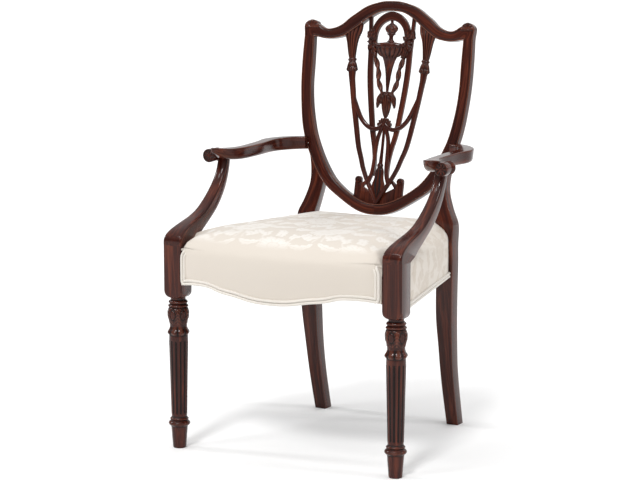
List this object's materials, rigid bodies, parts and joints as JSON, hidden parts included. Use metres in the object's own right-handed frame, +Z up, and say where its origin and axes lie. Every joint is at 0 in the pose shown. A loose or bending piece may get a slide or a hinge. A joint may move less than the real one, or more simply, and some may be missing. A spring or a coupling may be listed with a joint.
{
  "type": "shield back armchair",
  "caption": "Carved mahogany armchair with a shield back, urn splat, swept arms, fluted front legs and a stuffed damask seat, for sitting at a table or desk.",
  "frame": {"origin": "on the floor, under the middle of the chair's overall box", "axes": "+X to the viewer's right when facing the chair, +Y towards the back, +Z up; the sitter faces -Y"},
  "size_m": [0.6064, 0.5902, 0.9754],
  "materials": {
    "mahogany": "dark red mahogany, hand rubbed satin polish, darker in the carving",
    "rail_beech": "plain planed beech, unfinished",
    "dowel_beech": "plain turned beech",
    "screw_steel": "plain steel",
    "damask_cover": "cream damask, flowers woven tone on tone",
    "welt_cord": "double cord covered in the seat fabric",
    "jute_webbing": "woven jute",
    "hessian": "open hessian",
    "black_cambric": "thin black lining"
  },
  "bodies": {
    "root": {"arm_left": "mahogany", "arm_right": "mahogany", "arm_screws": "screw_steel", "arm_scroll_left": "mahogany", "arm_scroll_right": "mahogany", "arm_support_dowels": "dowel_beech", "arm_support_left": "mahogany", "arm_support_right": "mahogany", "back_leg_left": "mahogany", "back_leg_right": "mahogany", "back_post_screws": "screw_steel", "corner_block_screws": "screw_steel", "crest_dowels": "dowel_beech", "crest_rail": "mahogany", "dust_cover": "black_cambric", "front_corner_block_left": "rail_beech", "front_corner_block_right": "rail_beech", "front_leg_left": "mahogany", "front_leg_right": "mahogany", "front_rail": "rail_beech", "rear_corner_block_left": "rail_beech", "rear_corner_block_right": "rail_beech", "rear_rail": "rail_beech", "seat_cushion": "damask_cover", "seat_deck": "hessian", "seat_webbing": "jute_webbing", "shield_mitre_dowel": "dowel_beech", "shield_side_left": "mahogany", "shield_side_right": "mahogany", "side_rail_left": "rail_beech", "side_rail_right": "rail_beech", "splat_arch": "mahogany", "splat_centre_leaf": "mahogany", "splat_half_rosette": "mahogany", "splat_inner_rib_left": "mahogany", "splat_inner_rib_right": "mahogany", "splat_loop": "mahogany", "splat_outer_rib_left": "mahogany", "splat_outer_rib_right": "mahogany", "splat_shoe": "mahogany", "splat_small_rib_left": "mahogany", "splat_small_rib_right": "mahogany", "splat_swag_left": "mahogany", "splat_swag_right": "mahogany", "splat_tassel": "mahogany", "splat_urn": "mahogany", "welt_front": "welt_cord", "welt_side_left": "welt_cord", "welt_side_right": "welt_cord"}
  },
  "joints": []
}
